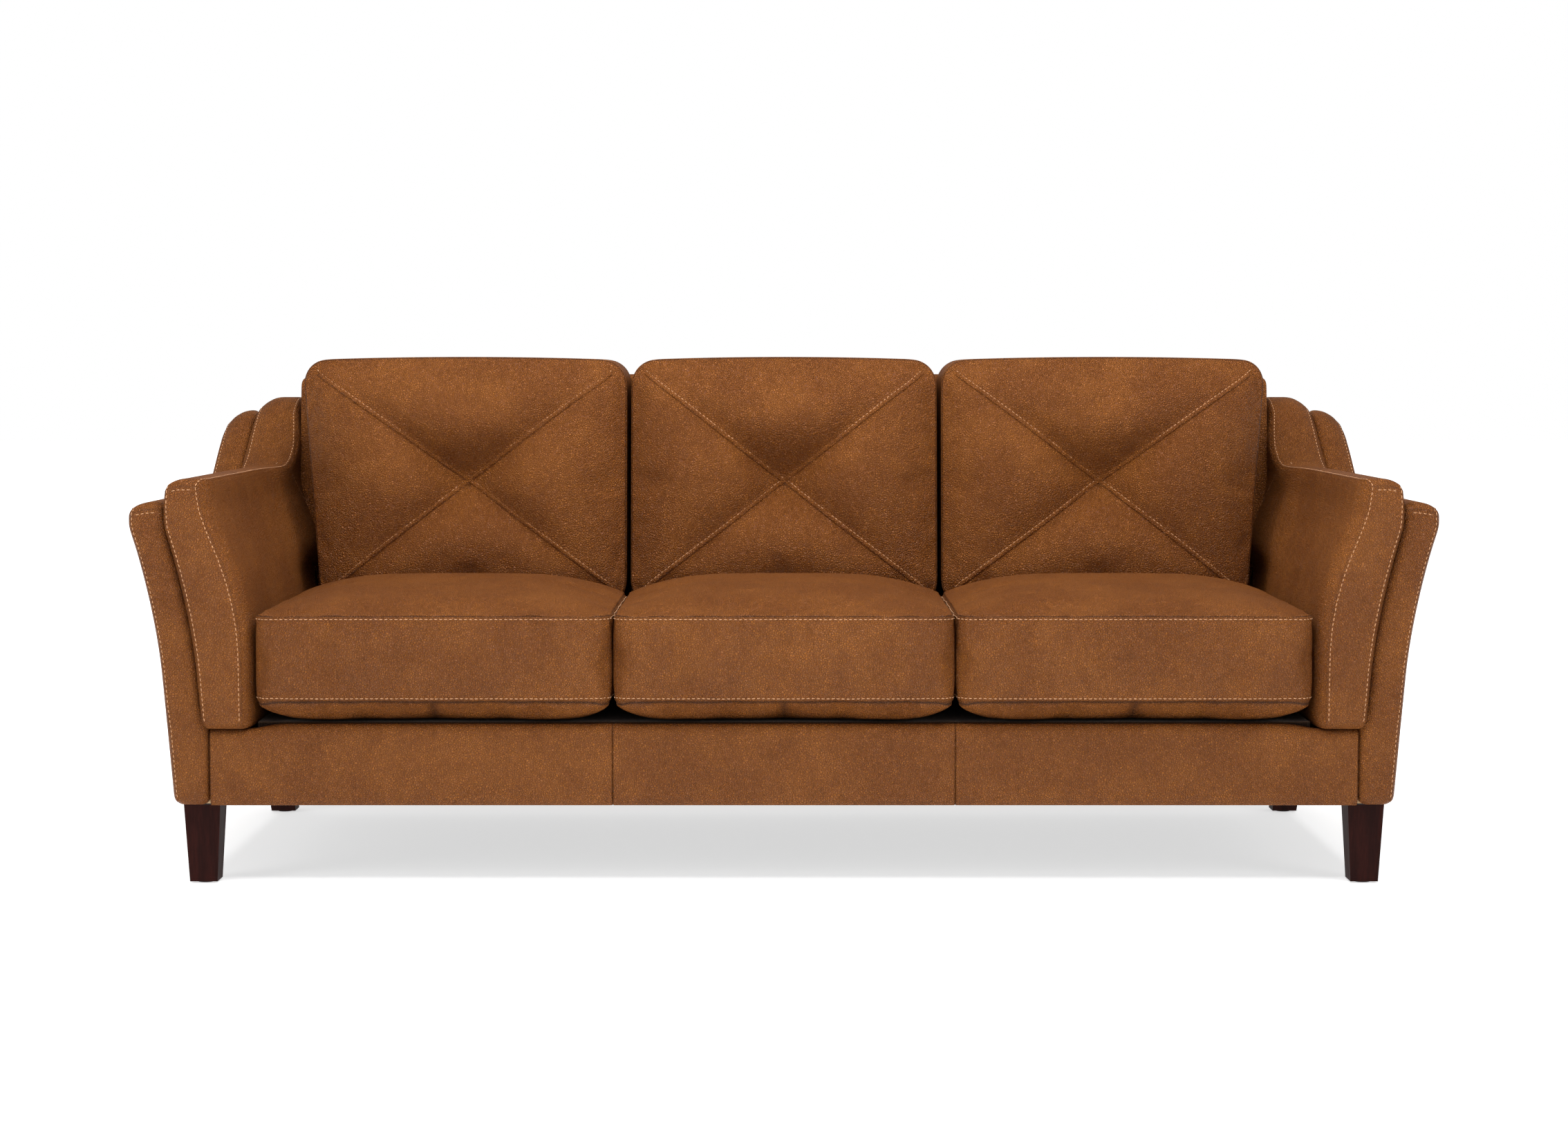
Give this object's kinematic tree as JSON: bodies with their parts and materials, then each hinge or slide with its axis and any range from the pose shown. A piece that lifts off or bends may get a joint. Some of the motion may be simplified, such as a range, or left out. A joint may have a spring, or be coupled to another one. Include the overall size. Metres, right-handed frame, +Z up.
{
  "type": "three-seat leather sofa",
  "caption": "Leather sofa with boxed seat cushions, cross-seamed back cushions, flared two-layer arms that sweep up to wings, and tapered dark wooden legs.",
  "frame": {"origin": "on the floor, under the middle of the sofa's bounding box", "axes": "+X to the right along the sofa as seen by someone facing it, +Y from front to back, +Z up"},
  "size_m": [2.21, 0.9377, 0.902],
  "materials": {
    "leather": "pebbled, semi-matt",
    "leg_wood": "dark stained, satin",
    "frame_wood": "sawn hardwood",
    "spring_steel": "drawn wire",
    "zinc_steel": "zinc plated",
    "foam": "open-cell foam",
    "fibre_fill": "loose fibre in a cambric bag",
    "webbing": "woven elastic strap",
    "deck_cloth": "plain woven",
    "dust_cloth": "thin non-woven",
    "zip_nylon": "coil zip on woven tape",
    "glide_plastic": "moulded"
  },
  "bodies": {
    "sofa": {"apron_cover_left": "leather", "apron_cover_middle": "leather", "apron_cover_right": "leather", "apron_foam": "foam", "arm_front_post_left": "frame_wood", "arm_front_post_right": "frame_wood", "arm_pad_cover_left": "leather", "arm_pad_cover_right": "leather", "arm_pad_foam_left": "foam", "arm_pad_foam_right": "foam", "arm_rear_post_left": "frame_wood", "arm_rear_post_right": "frame_wood", "arm_shell_cover_left": "leather", "arm_shell_cover_right": "leather", "arm_shell_foam_left": "foam", "arm_shell_foam_right": "foam", "arm_top_rail_left": "frame_wood", "arm_top_rail_right": "frame_wood", "back_cushion_cover_left": "leather", "back_cushion_cover_middle": "leather", "back_cushion_cover_right": "leather", "back_cushion_fills": "fibre_fill", "back_frame_cover": "leather", "back_frame_foam": "foam", "back_inner_posts": "frame_wood", "back_lower_rail": "frame_wood", "back_outer_posts": "frame_wood", "back_top_rail": "frame_wood", "back_webbing": "webbing", "corner_blocks": "frame_wood", "deck_cloth": "deck_cloth", "deck_pad": "foam", "dust_cover": "dust_cloth", "front_rail": "frame_wood", "leg_bolts": "zinc_steel", "leg_front_left": "leg_wood", "leg_front_right": "leg_wood", "leg_glides": "glide_plastic", "leg_rear_left": "leg_wood", "leg_rear_right": "leg_wood", "leg_tee_nuts": "zinc_steel", "outside_back_cover": "leather", "rear_rail": "frame_wood", "seat_springs_left": "spring_steel", "seat_springs_middle": "spring_steel", "seat_springs_right": "spring_steel", "seat_stretchers": "frame_wood", "side_rail_left": "frame_wood", "side_rail_right": "frame_wood", "spring_clips": "zinc_steel"},
    "seat_cushion_left": {"seat_cushion_cover_left": "leather", "seat_cushion_core_left": "foam", "seat_cushion_zip_left": "zip_nylon"},
    "seat_cushion_middle": {"seat_cushion_cover_middle": "leather", "seat_cushion_core_middle": "foam", "seat_cushion_zip_middle": "zip_nylon"},
    "seat_cushion_right": {"seat_cushion_cover_right": "leather", "seat_cushion_core_right": "foam", "seat_cushion_zip_right": "zip_nylon"}
  },
  "joints": [
    {"name": "seat_cushion_left_slide", "type": "slide", "parent": "sofa", "child": "seat_cushion_left", "axis": [0, -1, 0], "range_m": [0, 0.3]},
    {"name": "seat_cushion_middle_slide", "type": "slide", "parent": "sofa", "child": "seat_cushion_middle", "axis": [0, -1, 0], "range_m": [0, 0.3]},
    {"name": "seat_cushion_right_slide", "type": "slide", "parent": "sofa", "child": "seat_cushion_right", "axis": [0, -1, 0], "range_m": [0, 0.3]}
  ]
}
